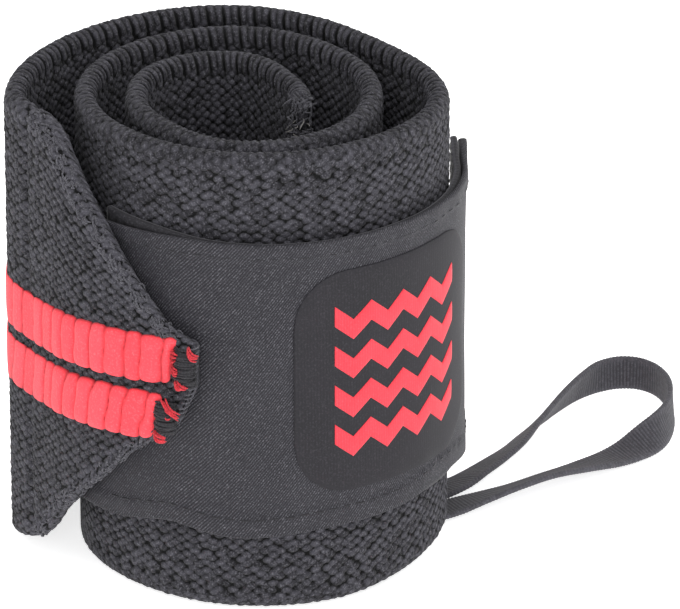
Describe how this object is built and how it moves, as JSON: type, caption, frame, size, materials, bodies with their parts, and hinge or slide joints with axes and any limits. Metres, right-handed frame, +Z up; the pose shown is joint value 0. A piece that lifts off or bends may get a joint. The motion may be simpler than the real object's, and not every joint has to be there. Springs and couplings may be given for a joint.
{
  "type": "wrist wrap",
  "caption": "Rolled elastic wrist wrap for lifting, standing on its edge, with a folded pointed end, ribbed stripes, a hook-and-loop tab and a tape thumb loop.",
  "frame": {"origin": "on the surface the wrap stands on, under the middle of its box", "axes": "+Z up along the roll's axis, +X to the right as the tab is seen from the front, +Y to the back"},
  "size_m": [0.1072, 0.0868, 0.0762],
  "materials": {
    "band_elastic": "matte",
    "stripe_yarn": "matte",
    "tack_thread": "satin",
    "tab_nylon": "satin",
    "hook_tape": "matte",
    "badge_patch": "satin",
    "loop_elastic": "matte"
  },
  "bodies": {
    "root": {"elastic_band": "band_elastic", "stripe_upper": "stripe_yarn", "stripe_lower": "stripe_yarn", "tack_upper": "tack_thread", "tack_lower": "tack_thread", "tab_cover": "tab_nylon", "hook_strip": "hook_tape", "badge": "badge_patch", "thumb_loop": "loop_elastic"}
  },
  "joints": []
}
